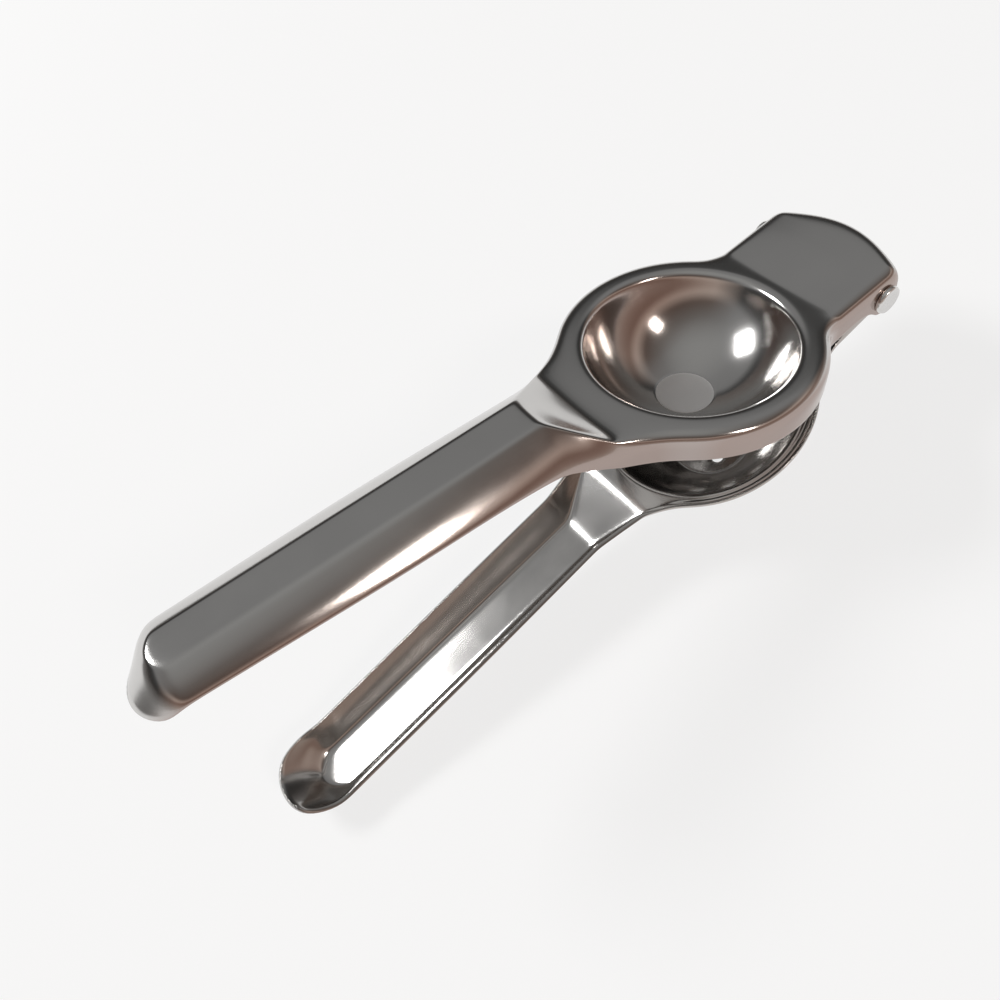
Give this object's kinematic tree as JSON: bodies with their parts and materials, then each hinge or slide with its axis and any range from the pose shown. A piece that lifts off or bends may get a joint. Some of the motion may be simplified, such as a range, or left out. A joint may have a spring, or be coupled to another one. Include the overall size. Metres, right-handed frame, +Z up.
{
  "type": "hinged lemon squeezer",
  "caption": "Hinged hand squeezer of pressed sheet steel: a cup lever that presses half a lemon into a drained bowl lever, joined by one rivet.",
  "frame": {"origin": "centre of the bounding box on the ground, in the rest pose of the picture, standing on the bowl and the end of the lower handle", "axes": "+X from the handles to the hinge, +Y to the far side in the picture, +Z up"},
  "size_m": [0.2181, 0.0688, 0.091],
  "materials": {
    "polished_steel_upper": "mirror-polished stainless steel",
    "polished_steel_lower": "mirror-polished stainless steel",
    "rivet_steel": "satin steel rivet"
  },
  "bodies": {
    "lower": {"lower_lever": "polished_steel_lower"},
    "upper": {"upper_lever": "polished_steel_upper", "hinge_rivet": "rivet_steel"}
  },
  "joints": [
    {"name": "hinge", "type": "hinge", "parent": "lower", "child": "upper", "pos_m": [0.09869, 0, 0.03715], "axis": [0, 1, 0], "range_deg": [-21.3, 78.7]}
  ]
}
